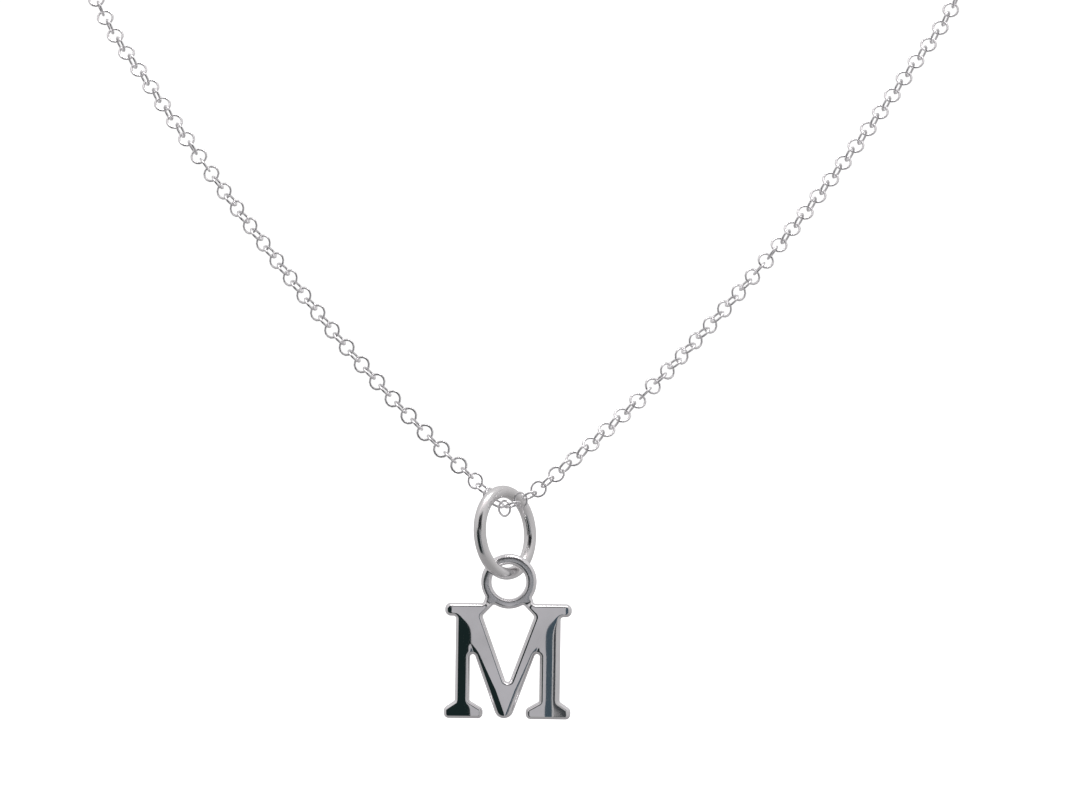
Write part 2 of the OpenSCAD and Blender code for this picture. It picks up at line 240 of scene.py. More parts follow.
def group_node(tree, group, **values):
    """A shader group placed in a material, with its inputs given as numbers."""
    node = tree.nodes.new("ShaderNodeGroup")
    node.node_tree = group
    for label, value in values.items():
        node.inputs[label].default_value = value
    return node


def silver(name, clean, dull, rough, hazy, scratch, waves, satin=None):
    """Polished silver: clean colour greys to dull, and rough rises to hazy, by the masks. Here
    scratch = (scale, amount) and waves = (scale, height in mm). With satin = (from, to,
    roughness), heights in mm, the metal turns satin from one to the other."""
    material = bpy.data.materials.new(name)
    material.use_nodes = True
    tree = material.node_tree
    shader = tree.nodes["Principled BSDF"]
    shader.inputs["Metallic"].default_value = 1.0
    lines = group_node(tree, HAIRLINES, Scale=scratch[0], Amount=scratch[1])
    bloom = group_node(tree, BLOOM, Scale=BLOOM_SCALE, Cover=BLOOM_COVER)
    slow = group_node(tree, WAVES, Scale=waves[0])
    colour = add(tree, "ShaderNodeMix", data_type="RGBA")
    colour.inputs["A"].default_value = (*clean, 1)
    colour.inputs["B"].default_value = (*dull, 1)
    tree.links.new(bloom.outputs["Mask"], colour.inputs["Factor"])
    tree.links.new(colour.outputs["Result"], shader.inputs["Base Color"])
    haze = add(tree, "ShaderNodeMath", {0: bloom.outputs["Mask"], 1: lines.outputs["Mask"]},
               operation="MAXIMUM")
    level = add(tree, "ShaderNodeMapRange", {"Value": haze.outputs[0], "To Min": rough,
                "To Max": hazy})
    if satin:
        place = add(tree, "ShaderNodeTexCoord").outputs["Object"]
        height = add(tree, "ShaderNodeSeparateXYZ", {0: place})
        rubbed = add(tree, "ShaderNodeMapRange", {"Value": height.outputs["Z"],
                     "From Min": satin[0] * MM, "From Max": satin[1] * MM, "To Min": 0.0,
                     "To Max": satin[2]})
        level = add(tree, "ShaderNodeMath", {0: level.outputs[0], 1: rubbed.outputs[0]},
                    operation="MAXIMUM")
    tree.links.new(level.outputs[0], shader.inputs["Roughness"])
    wavy = add(tree, "ShaderNodeBump", {"Height": slow.outputs["Height"],
               "Distance": waves[1] * MM})
    fine = add(tree, "ShaderNodeBump", {"Height": lines.outputs["Height"],
               "Strength": SCRATCH_STRENGTH, "Distance": SCRATCH_DEPTH * MM,
               "Normal": wavy.outputs["Normal"]})
    tree.links.new(fine.outputs["Normal"], shader.inputs["Normal"])
    return material


LETTER_SILVER = silver(
    "letter_silver", clean=(0.93, 0.92, 0.93), dull=(0.80, 0.79, 0.79), rough=0.03, hazy=0.09,
    scratch=(900.0, 0.5), waves=(350.0, 0.004), satin=(-128.0, -127.4, 0.24))
RING_SILVER = silver(
    "ring_silver", clean=(0.93, 0.92, 0.92), dull=(0.76, 0.75, 0.74), rough=0.15, hazy=0.26,
    scratch=(700.0, 0.6), waves=(260.0, 0.006))
CHAIN_SILVER = silver(
    "chain_silver", clean=(0.97, 0.96, 0.97), dull=(0.88, 0.87, 0.88), rough=0.2, hazy=0.3,
    scratch=(1500.0, 0.4), waves=(600.0, 0.003))
CLASP_SILVER = silver(
    "clasp_silver", clean=(0.92, 0.91, 0.91), dull=(0.72, 0.71, 0.70), rough=0.08, hazy=0.22,
    scratch=(700.0, 0.7), waves=(260.0, 0.006))
print("materials:", [m.name for m in (LETTER_SILVER, RING_SILVER, CHAIN_SILVER, CLASP_SILVER)])

# %% [markdown]
# The letter is a small casting: a flat plate with a ring on its head, whose edges were tumbled
# and buffed until they rolled over. It could be cut from a block with a bevel, but a bevel
# leaves a dead flat face, and a mirror shows that at once. So the outline is drawn as corners
# with radii, a half-ellipse is carried along it for the edge, and each face rises from there by
# a low, soft shoulder.

# %% Letter sizes, as in the part's source
LETTER = dict(h=10.0, stems=9.08, t=1.3, thin=1.28, thick=1.8, left_diag=1.88, right_diag=1.33,
              opening=5.28, fork_h=2.8, fork_x=0.0, tip_r=0.85, serif_t=1.15, serif_out=0.95,
              foot_in=1.15, foot_end=0.9, foot_r=0.44, foot_rise=1.55, corner_r=0.22, edge_r=0.3,
              ring_in=2.98, band=0.92, ring_t=0.95, sink=0.53, leg_x=2.19, leg_drop=1.1,
              plate_h=0.86, lean=0.8, leg_out=33, leg_in=57)
half_w = LETTER["stems"] / 2
left_in, right_in = -half_w + LETTER["thin"], half_w - LETTER["thick"]
ring_r_in = LETTER["ring_in"] / 2
ring_r_out = ring_r_in + LETTER["band"]
ring_z = LETTER["h"] + ring_r_out - LETTER["sink"]
plate_r = ring_r_in + LETTER["plate_h"]
fork_x, fork_h = LETTER["fork_x"], LETTER["fork_h"]
left_diag, right_diag = LETTER["left_diag"], LETTER["right_diag"]
open_h = LETTER["h"] - fork_h
left_slope = (LETTER["opening"] / 2 + fork_x) / open_h
right_slope = (LETTER["opening"] / 2 - fork_x) / open_h
print(f"slopes of the V {left_slope:.3f} and {right_slope:.3f}, loop {2 * ring_r_out:.2f} mm wide")


def left_edge(z):
    """x of the left diagonal's outer edge: the fork's x, less slope times the height above the
    fork, less the diagonal's width."""
    return fork_x - left_slope * (z - fork_h) - left_diag


def right_edge(z):
    """x of the right diagonal's outer edge: the same, with both signs turned round."""
    return fork_x + right_slope * (z - fork_h) + right_diag


def on_ring(r, degrees, corner=0.0):
    """A corner on a circle of radius r round the ring's middle."""
    a = math.radians(degrees)
    return (r * math.cos(a), ring_z + r * math.sin(a), corner)


def arc_inside(r, start, end, step=5.0):
    """Sharp points of an arc, both ends left out."""
    n = round(abs(end - start) / step)
    return [on_ring(r, start + (end - start) * k / n) for k in range(1, n)]


# %% [markdown]
# The outline is a list of corners, each with its own radius. It could be drawn by eye as curves,
# but corners and radii are sizes, and the part's source has the same ones. The outside goes
# round one way. The opening between the diagonals and the hole of the loop go the other way, so
# that inward always means into the metal.

# %% Letter outlines
# Radius of the serifs' corners as a share of their thickness, and the points round the hole
SERIF_ROUND, HOLE_POINTS = 0.45, 72
# Corner radii: the usual one, the feet's and the serifs'
soft, foot, serif = LETTER["corner_r"], LETTER["foot_r"], SERIF_ROUND * LETTER["serif_t"]
serif_x, serif_z = half_w + LETTER["serif_out"], LETTER["h"] - LETTER["serif_t"]
top, sweep_z, end_z = LETTER["h"], LETTER["foot_rise"], LETTER["foot_end"]
apex_z = fork_h - (left_diag + right_diag) / (left_slope + right_slope)
left_joint = fork_h + (fork_x - left_diag - left_in) / left_slope
right_joint = fork_h + (right_in - fork_x - right_diag) / right_slope
leg_z, reach = top - LETTER["leg_drop"], LETTER["foot_in"]
leg_x, leg_out, leg_in = LETTER["leg_x"], LETTER["leg_out"], LETTER["leg_in"]

LEFT_SIDE = [
    (-leg_x, top, soft), (-serif_x, top, serif), (-serif_x, serif_z, serif),
    (-half_w, serif_z, soft), (-half_w, sweep_z, soft), (-serif_x, end_z, foot),
    (-serif_x, 0, foot), (left_in + reach, 0, foot), (left_in + reach, end_z, foot),
    (left_in, sweep_z, soft), (left_in, left_joint, soft)]
RIGHT_SIDE = [
    (right_in, right_joint, soft), (right_in, sweep_z, soft), (right_in - reach, end_z, foot),
    (right_in - reach, 0, foot), (serif_x, 0, foot), (serif_x, end_z, foot),
    (half_w, sweep_z, soft), (half_w, serif_z, soft), (serif_x, serif_z, serif),
    (serif_x, top, serif), (leg_x, top, soft)]
OUTER = ([on_ring(ring_r_out, 90)] + arc_inside(ring_r_out, 90, 180 + leg_out)
         + [on_ring(ring_r_out, 180 + leg_out, soft)] + LEFT_SIDE
         + [(left_edge(apex_z), apex_z, LETTER["tip_r"])] + RIGHT_SIDE
         + [on_ring(ring_r_out, -leg_out, soft)] + arc_inside(ring_r_out, -leg_out, 90))
OPENING = ([(fork_x, fork_h, soft), (left_edge(leg_z) + left_diag, leg_z, soft),
            on_ring(plate_r, 180 + leg_in, soft)]
           + arc_inside(plate_r, 180 + leg_in, 360 - leg_in)
           + [on_ring(plate_r, -leg_in, soft), (right_edge(leg_z) - right_diag, leg_z, soft)])
HOLE = [on_ring(ring_r_in, 270 - 360 / HOLE_POINTS * k) for k in range(HOLE_POINTS)]


def rounded_outline(corners, step=9.0, longest=0.09):
    """Closed outline: each corner is an arc tangent to both sides, and long sides are split."""
    points, n = [], len(corners)
    for i, (x, z, r) in enumerate(corners):
        b = np.array((x, z))
        if r == 0:
            points.append(b[None])
            continue
        u = np.array(corners[i - 1][:2]) - b
        v = np.array(corners[(i + 1) % n][:2]) - b
        u, v = u / np.hypot(*u), v / np.hypot(*v)
        half = math.acos(float(np.clip(u @ v, -1, 1))) / 2
        middle = b + (u + v) / np.hypot(*(u + v)) * r / math.sin(half)
        start, stop = b + u * r / math.tan(half) - middle, b + v * r / math.tan(half) - middle
        sweep = math.pi - 2 * half
        k = np.linspace(0, 1, max(3, int(math.degrees(sweep) / step)) + 1)[:, None]
        blend = np.sin(sweep * (1 - k)) * start + np.sin(sweep * k) * stop
        points.append(middle + blend / math.sin(sweep))
    loop = np.vstack(points)
    follow = np.roll(loop, -1, axis=0)
    pieces = np.maximum(1, np.ceil(np.hypot(*(follow - loop).T) / longest).astype(int))
    start = np.repeat(np.arange(len(loop)), pieces)
    share = (np.arange(len(start)) - np.repeat(np.cumsum(pieces) - pieces, pieces)) / pieces[start]
    return loop[start] + share[:, None] * (follow - loop)[start]


def inward(loop):
    """How a point moves for each millimetre inwards: the sum of the normals of both sides,
    divided by 1 + their dot product."""
    ahead = np.roll(loop, -1, axis=0) - loop
    ahead /= np.hypot(*ahead.T)[:, None]
    normal = np.stack([-ahead[:, 1], ahead[:, 0]], -1)
    before = np.roll(normal, 1, axis=0)
    return (before + normal) / (1 + (before * normal).sum(1))[:, None]


LOOPS = [rounded_outline(OUTER), rounded_outline(OPENING), np.array(HOLE)[:, :2]]
print("outline points:", [len(loop) for loop in LOOPS])

# %% [markdown]
# A face polished by hand only looks flat. The bands in the photograph suggest that it falls
# away a little along the stems, over the flanks of the V and at the crown of the ring. A slope
# of one degree turns the reflection by two, so slopes this slight are enough to show a dark or
# a blue card in place of the grey one. Painted bands would stay put on the metal when the
# letter swings, so the slopes are real ones in the mesh.

# %% Letter surface
# Steps of the edge's half-ellipse, and the angle at which the face takes over
EDGE_STEPS, EDGE_END = 26, 86.5
# Spacing of the face's points, and distances of the rows beside its rim
LATTICE, RIM_ROWS = 0.075, (0.03, 0.065, 0.105)
# Height and reach of the shoulder, its solver's steps and the limit of a triangle's weight
SHOULDER_H, SHOULDER_W, SOLVER_STEPS, WEIGHT_LIMIT = 0.009, 0.12, 250, 20
# Stems: the lean starts LEAN_FROM from the middle, and within RISE_H above RISE_FROM its start
# moves out by LEAN_RISE. LEAN is its strength, and after LEAN_TO its curve goes on straight.
LEAN_FROM, LEAN_RISE, RISE_FROM, RISE_H, LEAN, LEAN_TO = 2.9, 1.8, 6.9, 2.3, 0.05, 1.1
# Flanks of the V: wear starts softly within WORN_BEGIN below WORN_FROM and is WORN_W wider
# WORN_H down. WORN is its strength, and the right flank's strip is WORN_RIGHT times as wide.
WORN_FROM, WORN_BEGIN, WORN_H, WORN_W, WORN, WORN_RIGHT = 6.6, 0.8, 4.1, 0.5, 0.25, 0.8
# Crown of the ring: width and strength of the wear, the angle of its middle and its spread
CROWN_W, CROWN, CROWN_AT, CROWN_SPREAD = 0.62, 0.3, 100.0, 1.6
# Width of the step in thickness round the ring
STEP_W = 0.5


def thickness(x, z):
    """The letter's thickness, falling smoothly to the ring's within STEP_W mm round the ring."""
    away = np.clip((np.hypot(x, z - ring_z) - ring_r_out) / STEP_W, 0, 1)
    return LETTER["ring_t"] + (LETTER["t"] - LETTER["ring_t"]) * away * away * (3 - 2 * away)


def polished_off(x, z):
    """What polishing took off a face: the stems lean outwards below their serifs, the lower
    outer flanks of the diagonals are worn round, and so is the crown of the ring. Each is the
    square of a clipped distance, and the stems' lean goes on as a straight slope."""
    start = LEAN_FROM + LEAN_RISE * np.clip((z - RISE_FROM) / RISE_H, 0, 1) ** 3
    beyond = np.clip(np.abs(x) - start, 0, None)
    near = np.minimum(beyond, LEAN_TO)
    lean = LEAN * near * (2 * beyond - near)
    from_crown = np.arctan2(z - ring_z, x) - math.radians(CROWN_AT)
    on_crown = np.clip(CROWN_SPREAD * np.cos(from_crown), 0, 1)
    in_ring = np.clip(ring_r_out - np.hypot(x, z - ring_z), 0, None)
    crown = CROWN * on_crown ** 2 * (3 - 2 * on_crown) * np.clip(CROWN_W - in_ring, 0, None) ** 2
    crown = np.where(z > ring_z - ring_r_in, crown, 0)
    width = LETTER["edge_r"] + WORN_W * np.clip((WORN_FROM - z) / WORN_H, 0, 1)
    across = math.cos(math.atan(left_slope))
    left = np.clip(width - np.abs(x - left_edge(z)) * across, 0, None) ** 2
    right = np.clip(WORN_RIGHT * width - np.abs(right_edge(z) - x) * across, 0, None) ** 2
    begin = np.clip((WORN_FROM - z) / WORN_BEGIN, 0, 1)
    return lean + crown + WORN * begin * begin * (3 - 2 * begin) * (left + right)


def half_depth(x, z):
    """Half the thickness, less the shoulder's height and what polishing took off."""
    return thickness(x, z) / 2 - SHOULDER_H - polished_off(x, z)


def distance_to(points, loops):
    """Shortest distance from each point to the points of the loops."""
    ends = np.vstack(loops)
    sideways = points[:, None, 0] - ends[None, :, 0]
    upwards = points[:, None, 1] - ends[None, :, 1]
    return np.min(np.hypot(sideways, upwards), 1)


def inside(points, loops):
    """True where a line to the right of a point crosses the loops an odd number of times."""
    odd = np.zeros(len(points), bool)
    for loop in loops:
        (x, z), (x_next, z_next) = loop.T[:, None], np.roll(loop, -1, axis=0).T[:, None]
        px, pz = points[:, :1], points[:, 1:]
        spans = (z > pz) != (z_next > pz)
        share = (pz - z) / np.where(z_next == z, 1, z_next - z)
        odd ^= np.sum(spans & (px < x + share * (x_next - x)), 1) % 2 == 1
    return odd


def face_triangles(loops):
    """Delaunay triangles between the loops: a few rows beside each loop, then a lattice."""
    low, high = loops[0].min(0), loops[0].max(0)
    rows = np.arange(low[1], high[1], LATTICE * math.sqrt(3) / 2)
    grid = np.stack(np.meshgrid(np.arange(low[0], high[0], LATTICE), rows), -1)
    grid[1::2, :, 0] += LATTICE / 2
    grid = grid.reshape(-1, 2)
    # The lattice keeps half a step away from the last row, and a row leaves out the points that
    # come too near another stretch of the rim
    grid = grid[inside(grid, loops) & (distance_to(grid, loops) > RIM_ROWS[-1] + 0.5 * LATTICE)]
    for away in RIM_ROWS:
        row = np.vstack([loop + away * inward(loop) for loop in loops])
        row = row[inside(row, loops) & (distance_to(row, loops) > 0.9 * away)]
        grid = np.vstack([row, grid])
    rim = np.vstack(loops)
    starts = np.cumsum([0] + [len(loop) for loop in loops])
    sides = [(a + k, a + (k + 1) % (b - a))
             for a, b in zip(starts, starts[1:]) for k in range(b - a)]
    given = np.vstack([rim, grid])
    _, _, faces, came_from, _, _ = delaunay_2d_cdt(given.tolist(), sides, [], 0, 1e-7, True)
    faces = np.array([ids[0] for ids in came_from])[np.array([list(f) for f in faces])]
    return given, faces[inside(given[faces].mean(1), loops)]


def shoulder(points, triangles, rim):
    """Rise of a face from its rim: H (1 - exp(-distance / W)) without creases. It solves
    h - W^2 laplacian(h) = H by conjugate gradients, with the triangles' cotangent weights."""
    corner = points[triangles]
    to_next, to_last = np.roll(corner, -1, 1) - corner, np.roll(corner, 1, 1) - corner
    area2 = to_next[..., 0] * to_last[..., 1] - to_next[..., 1] * to_last[..., 0]
    weight = np.clip((to_next * to_last).sum(-1) / area2, 0, WEIGHT_LIMIT).ravel() / 2
    a, b = np.roll(triangles, -1, 1).ravel(), np.roll(triangles, 1, 1).ravel()
    mass = np.bincount(triangles.ravel(), np.repeat(area2[:, 0] / 6, 3), len(points))

    def apply(h):
        flow = SHOULDER_W ** 2 * weight * (h[a] - h[b])
        out = mass * h + np.bincount(a, flow, len(h)) - np.bincount(b, flow, len(h))
        out[:rim] = 0
        return out

    height = np.zeros(len(points))
    rest = mass * SHOULDER_H
    rest[:rim] = 0
    way, size = rest.copy(), rest @ rest
    for _ in range(SOLVER_STEPS):
        pushed = apply(way)
        share = size / (way @ pushed)
        height, rest = height + share * way, rest - share * pushed
        size, before = rest @ rest, size
        way = rest + size / before * way
    return height


angles = np.radians(np.linspace(-EDGE_END, EDGE_END, EDGE_STEPS + 1))
outline = np.vstack(LOOPS)
inset = np.vstack([inward(loop) for loop in LOOPS])
band = outline[None] + inset[None] * (LETTER["edge_r"] * (1 - np.cos(angles)))[:, None, None]
depth = half_depth(band[..., 0], band[..., 1]) * (np.sin(angles) / math.sin(angles[-1]))[:, None]
rim_loops = np.split(band[-1], np.cumsum([len(loop) for loop in LOOPS])[:-1])
flat_points, flat_faces = face_triangles(rim_loops)
rim = len(outline)
rise = shoulder(flat_points, flat_faces, rim)
print(f"face: {len(flat_points)} points, shoulder up to {rise.max():.4f} mm")

# %% [markdown]
# The letter hangs on the jump ring, and the ring on the chain's lowest link. The part works out
# their places from a few sizes, and the same sums are done here, so that each surface lies on
# its solid. The sizes are copies: where the part changes, they have to change too.

# %% Where the pieces hang, in mm, as in the part's source
RING_R, WIRE, RING_TURN, RING_LEAN = 3.55, 1.1, 53.0, 5.5
LOW = np.array([-0.4, -116.0, -119.3])
LINK_D, LINK_WIRE, RING_SHIFT, RING_CLEAR, LOOP_CLEAR = 1.54, 0.19, 0.05, 0.13, 0.23
ring_center = LOW + np.array([RING_SHIFT, 0, (LINK_D + WIRE) / 2 + RING_CLEAR - RING_R])
ring_low = ring_center + RING_R * np.array(
    [math.sin(math.radians(RING_LEAN)), 0, -math.cos(math.radians(RING_LEAN))])
hang_z = ring_z + ring_r_in - WIRE / 2 - LOOP_CLEAR
print("jump ring's middle:", ring_center.round(3), "its lowest point:", ring_low.round(3))

# %% [markdown]
# The edge, the front and the back now become one closed mesh. As separate meshes they would show
# a seam where the light runs round the edge, so they share the points of the rim. Then the whole
# letter is hung in its place.

# %% Letter mesh
inner = flat_points[rim:]
raised = half_depth(inner[:, 0], inner[:, 1]) + rise[rim:]
letter_points = np.vstack([
    np.stack([band[..., 0], depth, band[..., 1]], -1).reshape(-1, 3),
    np.stack([inner[:, 0], -raised, inner[:, 1]], -1),
    np.stack([inner[:, 0], raised, inner[:, 1]], -1)])
loop_ends = np.cumsum([0] + [len(loop) for loop in LOOPS])
after = np.concatenate([np.roll(np.arange(a, b), -1) for a, b in zip(loop_ends, loop_ends[1:])])
row, along = np.meshgrid(np.arange(EDGE_STEPS) * rim, np.arange(rim), indexing="ij")
side_quads = np.stack([row + along, row + rim + along,
                       row + rim + after[along], row + after[along]], -1).reshape(-1, 4)
edge_points = (EDGE_STEPS + 1) * rim
inner_ids = np.arange(len(inner))
front_ids = np.concatenate([np.arange(rim), edge_points + inner_ids])
back_ids = np.concatenate([EDGE_STEPS * rim + np.arange(rim), edge_points + len(inner) + inner_ids])
letter_points = (letter_points - (0, 0, hang_z)) @ turn("y", LETTER["lean"]).T + ring_low

letter = put_mesh("letter_casting", letter_points,
                  side_quads.tolist() + front_ids[flat_faces].tolist()
                  + back_ids[flat_faces[:, ::-1]].tolist(), "letter")
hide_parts("letter")
letter.data.materials.append(LETTER_SILVER)

# %% [markdown]
# The jump ring is a length of round wire, wound on a rod and soldered shut. A plain torus is
# true to it but for its wire, which the winding left a hair flatter on the inside, and for a
# faint swelling at the solder joint. Where the real joint is can't be seen. Here it is near
# the top, beside the chain's link.

# %% Jump ring
RING_GRID = (180, 40)
PRESSED, SWELLING, SOLDER_AT, SOLDER_W = 0.02, 0.015, 100, 0.09


def bent_wire(radius, wire_radius, around, across):
    """Torus whose inner side is pressed flatter by the share PRESSED, times cos^2. All of its
    wire but the solder joint, a bell curve round SOLDER_AT, is thinner by the share SWELLING."""
    points = wire_ring(radius, wire_radius, around, across)
    a = np.linspace(0, 2 * np.pi, around, endpoint=False)[:, None]
    b = np.linspace(0, 2 * np.pi, across, endpoint=False)[None, :]
    joint = np.exp(-((a - math.radians(SOLDER_AT)) / SOLDER_W) ** 2)
    press = 1 - PRESSED * np.clip(-np.cos(b), 0, 1) ** 2 - SWELLING * (1 - joint)
    spine = np.stack([radius * np.cos(a), radius * np.sin(a), 0 * a], -1)
    return spine + (points - spine) * press[..., None]


ring_place = turn("y", -RING_LEAN) @ turn("z", RING_TURN) @ turn("x", 90)
ring_points = bent_wire(RING_R, WIRE / 2, *RING_GRID).reshape(-1, 3) @ ring_place.T + ring_center
jump_ring = put_mesh("jump_ring_wire", ring_points, ring_faces(*RING_GRID).tolist(),
                     "ring")
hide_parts("jump_ring")
jump_ring.data.materials.append(RING_SILVER)

# %% [markdown]
# The chain is a trace of small round links, each turned a quarter against the one before it,
# and the whole strand twists as it hangs: in some stretches every second link faces the viewer,
# in others all of them stand askew. A curve through listed points gives each link its place.
# The links could be instances, but one array of grids is simpler.

# %% Chain route, in mm, as in the part's source
EYE_END, RING_END = (-2.9, 0.45, 0.0), (4.76, 0.45, 0.0)
ROUTE = np.array([
    EYE_END, (-12, 0, -0.4), (-24, -4, -1.6), (-36, -12, -4), (-45.5, -24, -8), (-52, -40, -14),
    (-54.5, -56, -22), (-53, -71, -33.5), (-49, -83, -46), (-43.5, -92, -58.5),
    (-37.2, -99, -74.1), (-32, -102.5, -82.1), (-26, -106, -90.5), (-19.2, -109.5, -99.3),
    (-14.6, -111.5, -104.9), (-9.9, -112.9, -110.1), (-5.9, -113.7, -114.2),
    (-3.2, -114, -116.7), (-1.35, -115.2, -118.6), LOW,
    (0.55, -116.8, -118.8), (2.4, -117.9, -117.7), (5.6, -117.4, -115), (8.1, -116, -112.8),
    (12.4, -113.2, -108.8), (16.9, -110, -104.1), (20.5, -108, -100.1), (25, -105, -94.8),
    (28.8, -102.6, -90), (32.5, -100.4, -85.1), (36, -98.2, -80.2), (40.5, -95.5, -73.5),
    (45.5, -91, -61), (50, -83, -48), (53.5, -71, -34.5), (54.5, -56, -22.5),
    (52, -40, -14), (45.5, -24, -8), (36, -12, -4), (25, -4, -1.6), (14, 0, -0.4), RING_END], float)
LOW_POINT = 19
TWIST = np.array([(-60, 45), (-46, 45), (-38, 90), (2, 90), (8, 45), (14, 45), (22, 90), (30, 90),
                  (38, 45), (60, 45)], float)
LINK_PLAY, BEND_SLACK, BEND_LINKS, ARM_LINKS = 0.13, 0.03, 6, 57
CURVE_STEPS = 12


def smooth_route(route, steps=CURVE_STEPS):
    """Catmull-Rom curve: a cubic between each two points, steered by the points beside them."""
    p = np.vstack([2 * route[0] - route[1], route, 2 * route[-1] - route[-2]])
    a, b, c, d = (p[q:len(p) - 3 + q, None] for q in range(4))
    t = (np.arange(steps) / steps)[None, :, None]
    curve = 0.5 * (2 * b + (c - a) * t + (2 * a - 5 * b + 4 * c - d) * t * t
                   + (3 * b - a - 3 * c + d) * t ** 3)
    return np.vstack([curve.reshape(-1, 3), route[-1:]])


curve = smooth_route(ROUTE)
length = np.concatenate([[0], np.cumsum(np.linalg.norm(np.diff(curve, axis=0), axis=1))])
left_len = length[LOW_POINT * CURVE_STEPS]
right_len = length[-1] - left_len
pitch = LINK_D - 2 * LINK_WIRE - LINK_PLAY
left_links, right_links = round(left_len / pitch), round(right_len / pitch)
print(f"route {length[-1]:.1f} mm, links {left_links} + 1 + {right_links}, pitch {pitch:.2f} mm")

# %% [markdown]
# Each link is a closed ring of fine wire, about 18 pixels across in the photograph's frame, and
# its wire is about 2 pixels thick. There are 432 of them, so a link has only 14 steps round and
# a six-sided wire, which smooth shading rounds. The hidden stretch gets the same links, in
# place of the part's tube.

# %% Chain links
index = np.arange(-left_links, right_links + 1)
step = np.where(index < 0, (left_len + BEND_LINKS * BEND_SLACK) / left_links,
                (right_len + BEND_LINKS * BEND_SLACK) / right_links)
place = index * step - np.sign(index) * np.minimum(np.abs(index), BEND_LINKS) * BEND_SLACK
centres = np.stack([np.interp(left_len + place, length, curve[:, q]) for q in range(3)], -1)
ahead = np.gradient(centres, axis=0)
azimuth = np.arctan2(ahead[:, 1], ahead[:, 0])
climb = np.arctan2(ahead[:, 2], np.hypot(ahead[:, 0], ahead[:, 1]))
roll = np.radians(np.interp(place, TWIST[:, 0], TWIST[:, 1]) + 90 * index)


def turns(axis, radians):
    """As turn(), for a whole array of angles: one matrix for each."""
    i, j = {"x": (1, 2), "y": (2, 0), "z": (0, 1)}[axis]
    m = np.tile(np.eye(3), (len(radians), 1, 1))
    m[:, i, i] = m[:, j, j] = np.cos(radians)
    m[:, i, j], m[:, j, i] = -np.sin(radians), np.sin(radians)
    return m


LINK_AROUND, LINK_ACROSS = 14, 6
# A six-sided wire has the section of the round one when its corners lie 1.1 times as far out
SIX_SIDED_R = 1.1 * LINK_WIRE / 2
placed = turns("z", azimuth) @ turns("y", -climb) @ turns("x", roll)
link = wire_ring(LINK_D / 2 - SIX_SIDED_R, SIX_SIDED_R, LINK_AROUND, LINK_ACROSS).reshape(-1, 3)
all_links = np.einsum("nij,pj->npi", placed, link) + centres[:, None]


def chain_piece(name, chosen, node):
    """The chosen links as one mesh, in place of the part's solids for that stretch."""
    points = all_links[chosen].reshape(-1, 3)
    quads = ring_faces(LINK_AROUND, LINK_ACROSS)[None] + (
        np.arange(chosen.sum()) * len(link))[:, None, None]
    piece = put_mesh(name, points, quads.reshape(-1, 4).tolist(), "chain")
    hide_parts(node)
    piece.data.materials.append(CHAIN_SILVER)


front = np.abs(index) <= ARM_LINKS
chain_piece("front_links", front, "front_chain")
chain_piece("back_links", ~front, "back_chain")

# %% [markdown]
# The clasp at the nape is a ring of thick wire with a small eye soldered to it. The photograph
# doesn't show it, so it is one plain piece. Two rings of wire make it, and the eye's wire sinks
# into the ring's, as the solder joint does.

# %% Clasp
CLASP_R, CLASP_WIRE, EYE_R, EYE_WIRE, EYE_OVERLAP = 2.3, 0.9, 0.9, 0.6, 0.3
CLASP_GRID, EYE_GRID = (128, 28), (96, 24)
eye_x = -(CLASP_WIRE + EYE_WIRE) / 2 - EYE_R + EYE_OVERLAP
upright = turn("x", 90).T
clasp_body = wire_ring(CLASP_R, CLASP_WIRE / 2, *CLASP_GRID).reshape(-1, 3) @ upright
clasp_eye = wire_ring(EYE_R, EYE_WIRE / 2, *EYE_GRID).reshape(-1, 3) @ upright
clasp_points = np.vstack([clasp_body + (CLASP_R, CLASP_WIRE / 2, 0),
                          clasp_eye + (eye_x, CLASP_WIRE / 2, 0)])
clasp_quads = np.vstack([ring_faces(*CLASP_GRID), ring_faces(*EYE_GRID) + len(clasp_body)])
clasp = put_mesh("clasp_ring", clasp_points, clasp_quads.tolist(), "chain")
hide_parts("clasp")
clasp.data.materials.append(CLASP_SILVER)

# %% [markdown]
# A mirror shows its surroundings, so the light here is set like a jeweller's table: a pale
# floor under a white room, a light grey card round the camera that the flat faces show, a few
# darker cards that draw the black lines on the edges, and a bright one overhead. The cards can
# be seen in the metal but not by the camera. Each is placed by the angles at which the pendant
# sees it.

# %% Stage materials
def plain_surface(name, colour, glow):
    """A matt stage colour with some light of its own, as evenly lit paper has."""
    material = bpy.data.materials.new(name)
    material.use_nodes = True
    shader = material.node_tree.nodes["Principled BSDF"]
    shader.inputs["Base Color"].default_value = (*colour, 1)
    shader.inputs["Roughness"].default_value = 0.9
    shader.inputs["Emission Color"].default_value = (*colour, 1)
    shader.inputs["Emission Strength"].default_value = glow
    return material


def stage_sheet(name, corners, material, seen=True):
    """A flat four-sided sheet of the stage, from its corners in metres."""
    mesh = bpy.data.meshes.new(name)
    mesh.from_pydata([list(p) for p in corners], [], [(0, 1, 2, 3)])
    sheet = bpy.data.objects.new(name, mesh)
    bpy.context.collection.objects.link(sheet)
    sheet.data.materials.append(material)
    sheet.visible_camera = seen
    return sheet


# %% Floor and cards
FLOOR_Z, FLOOR_SIZE = -0.175, 4.0
CARD_FAR = 0.75
heart = ring_low * MM

floor_corners = [(FLOOR_SIZE * x, FLOOR_SIZE * y, FLOOR_Z)
                 for x, y in ((-1, -1), (1, -1), (1, 1), (-1, 1))]
floor_sheet = stage_sheet("floor", floor_corners,
                          plain_surface("floor_paper", colour=(0.92, 0.92, 0.92), glow=0.8))
# The metal mirrors the lower part of the room instead of the floor
floor_sheet.visible_glossy = False


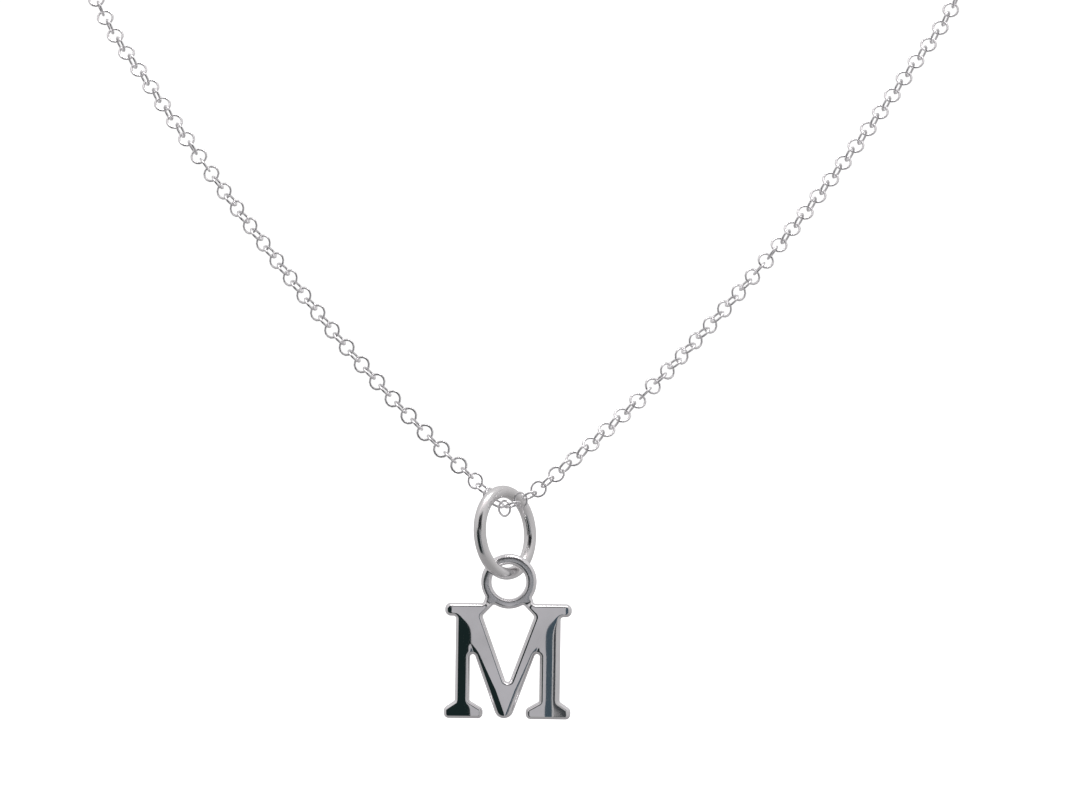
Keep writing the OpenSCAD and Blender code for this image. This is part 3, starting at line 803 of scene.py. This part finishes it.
def direction(right, up):
    """Unit vector from the pendant: degrees to the right of the camera, and degrees up."""
    r, u = math.radians(right), math.radians(up)
    return np.array([math.sin(r) * math.cos(u), -math.cos(r) * math.cos(u), math.sin(u)])


def card(name, right, up, colour):
    """A card that glows in its colour and that the camera doesn't see. It spans the angles
    right = (from, to) and up = (from, to)."""
    corners = [heart + CARD_FAR * direction(right[a], up[b])
               for a, b in ((0, 0), (1, 0), (1, 1), (0, 1))]
    material = bpy.data.materials.new(name)
    material.use_nodes = True
    tree = material.node_tree
    tree.nodes.clear()
    light = add(tree, "ShaderNodeEmission", {"Strength": 1.0})
    light.inputs["Color"].default_value = (*colour, 1)
    add(tree, "ShaderNodeOutputMaterial", {"Surface": light.outputs[0]})
    return stage_sheet(name, corners, material, seen=False)


CARDS = [("front_card", (-4.5, 4.4), (-25, 10), (0.46, 0.455, 0.475)),
         ("dark_left_card", (-58, -4.5), (-40, 10), (0.010, 0.019, 0.019)),
         ("blue_card", (4.4, 11.6), (-40, 10), (0.058, 0.085, 0.107)),
         ("dark_right_card", (13, 16), (-40, 10), (0.05, 0.055, 0.06)),
         ("dark_top_card", (-32, 32), (10, 40), (0.012, 0.014, 0.016)),
         ("bright_top_card", (-60, 60), (44, 70), (1.0, 0.93, 0.95))]
for name, right, up, colour in CARDS:
    card(name, right, up, colour)
print("cards:", [row[0] for row in CARDS])

# %% [markdown]
# The photograph has a white ground without a visible horizon. A room as bright as that would
# wash the metal out, so the world is two things at once: white paper to the camera, and to the
# metal a room that is darker below and lighter above. One soft lamp hangs overhead.

# %% Room light
world = bpy.data.worlds.new("white_room")
world.use_nodes = True
tree = world.node_tree
tree.nodes.clear()
toward = add(tree, "ShaderNodeTexCoord").outputs["Generated"]
upward = add(tree, "ShaderNodeSeparateXYZ", {0: toward})
walls = add(tree, "ShaderNodeMapRange", {"Value": upward.outputs["Z"], "From Min": -0.8,
            "From Max": 0.9, "To Min": 0.34, "To Max": 0.72})
room = add(tree, "ShaderNodeBackground", {"Strength": walls.outputs[0]})
room.inputs["Color"].default_value = (1.0, 0.985, 1.0, 1)
paper = add(tree, "ShaderNodeBackground", {"Strength": 1.05})
paper.inputs["Color"].default_value = (1, 1, 1, 1)
to_camera = add(tree, "ShaderNodeLightPath").outputs["Is Camera Ray"]
shown = add(tree, "ShaderNodeMixShader", {0: to_camera, 1: room.outputs[0], 2: paper.outputs[0]})
add(tree, "ShaderNodeOutputWorld", {"Surface": shown.outputs[0]})
bpy.context.scene.world = world
bpy.context.scene.view_settings.view_transform = "Standard"

lamp_data = bpy.data.lights.new("soft_top_light", "AREA")
lamp_data.shape, lamp_data.size, lamp_data.size_y, lamp_data.energy = "RECTANGLE", 0.5, 0.4, 4.0
lamp = bpy.data.objects.new("soft_top_light", lamp_data)
lamp.location = (0.1, -0.3, 0.7)
lamp.rotation_euler = (math.radians(-12), 0, 0)
bpy.context.collection.objects.link(lamp)
print("lamp:", lamp.name, "world:", world.name)
